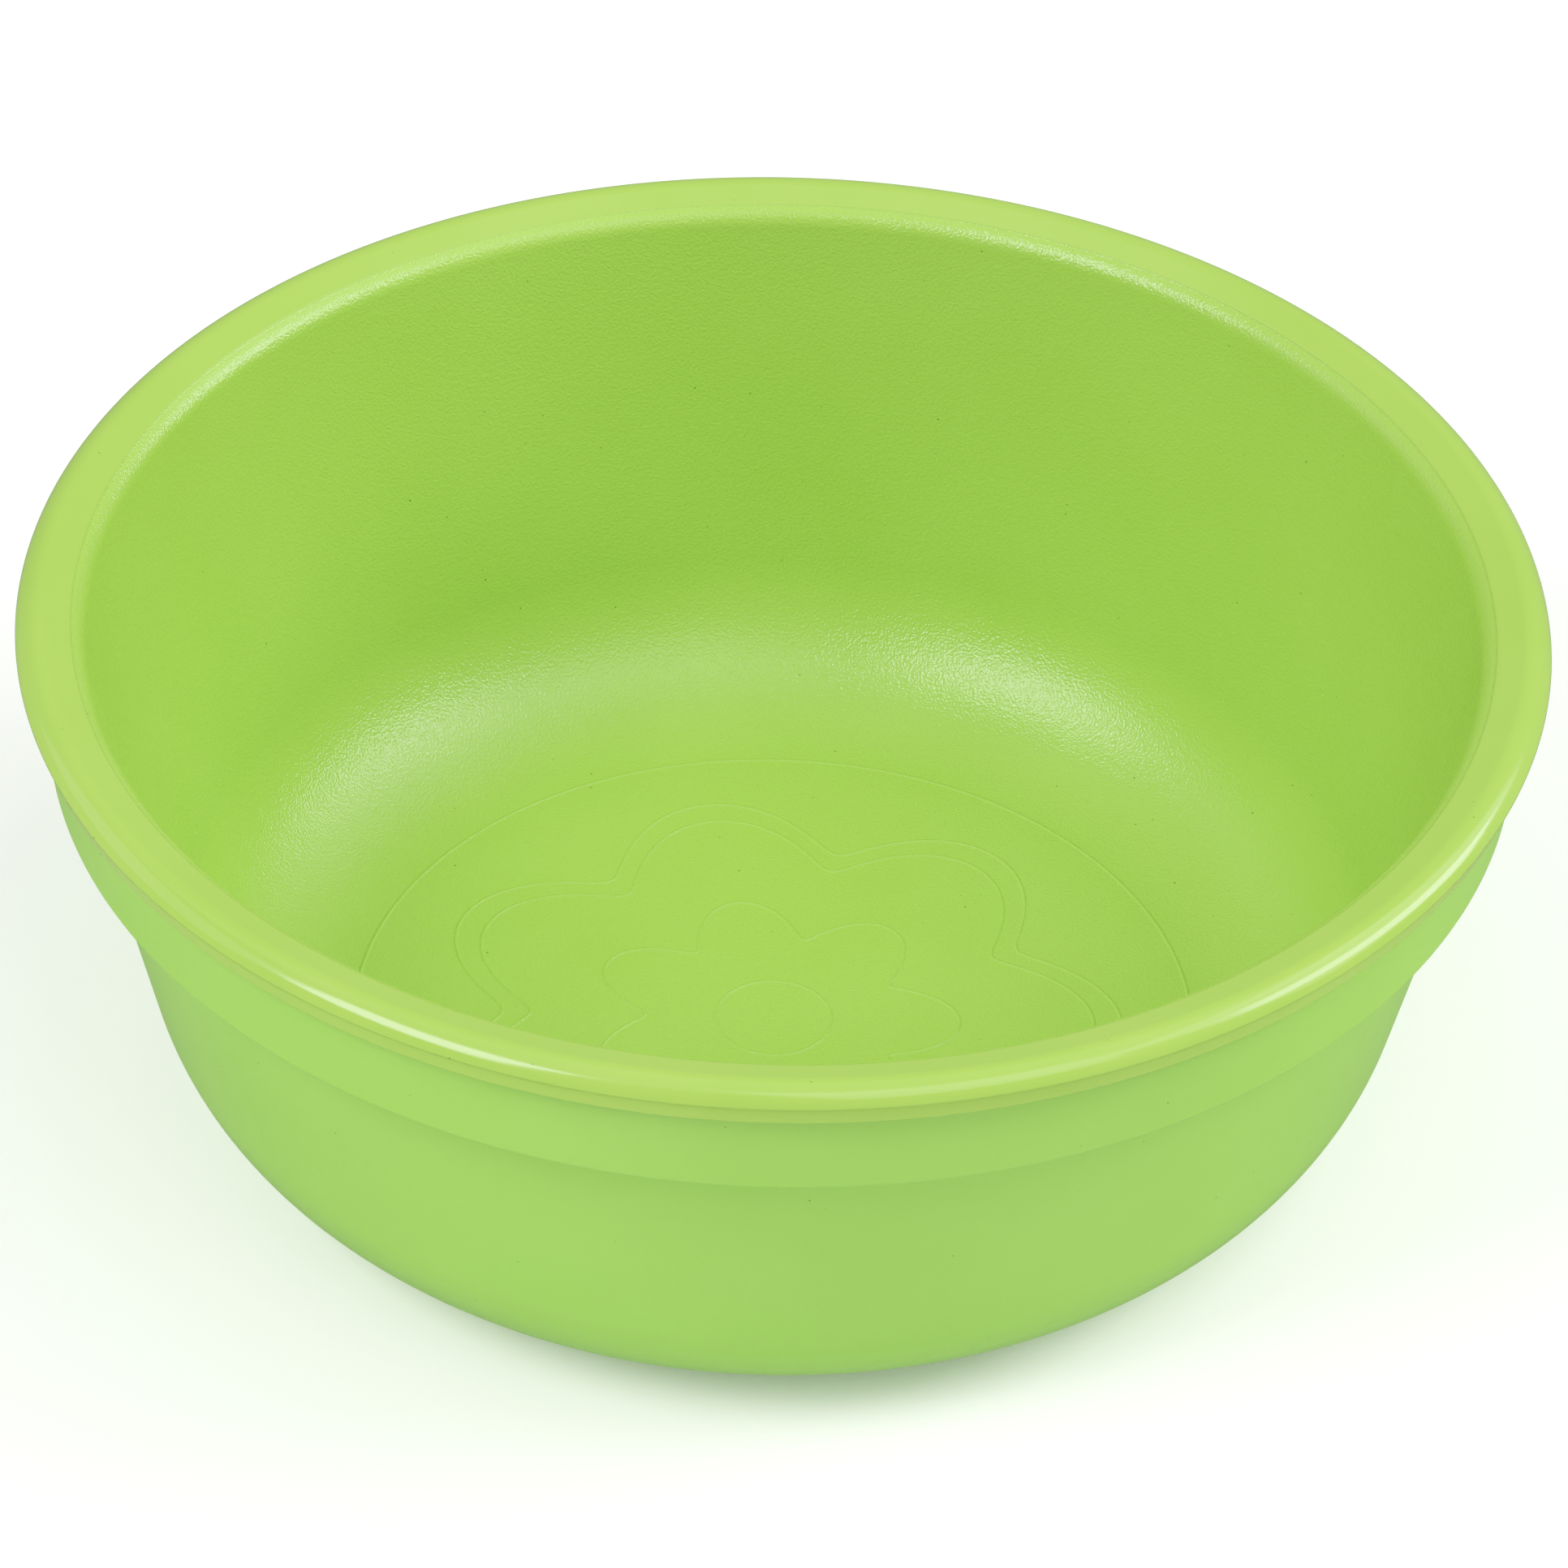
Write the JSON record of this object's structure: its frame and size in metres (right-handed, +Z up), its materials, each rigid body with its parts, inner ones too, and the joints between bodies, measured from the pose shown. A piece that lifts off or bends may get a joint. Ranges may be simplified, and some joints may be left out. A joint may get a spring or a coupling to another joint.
{
  "type": "mixing bowl",
  "caption": "Small round one-piece bowl in satin moulded plastic, with a rolled lip, a stacking ledge under it and a foot ring.",
  "frame": {"origin": "centre of the face the bowl stands on", "axes": "+Z up along the bowl's axis of symmetry, from the foot to the rim"},
  "size_m": [0.128, 0.128, 0.0475],
  "materials": {
    "bowl_plastic": "satin, with a fine moulded grain inside"
  },
  "bodies": {
    "root": {"bowl": "bowl_plastic"}
  },
  "joints": []
}
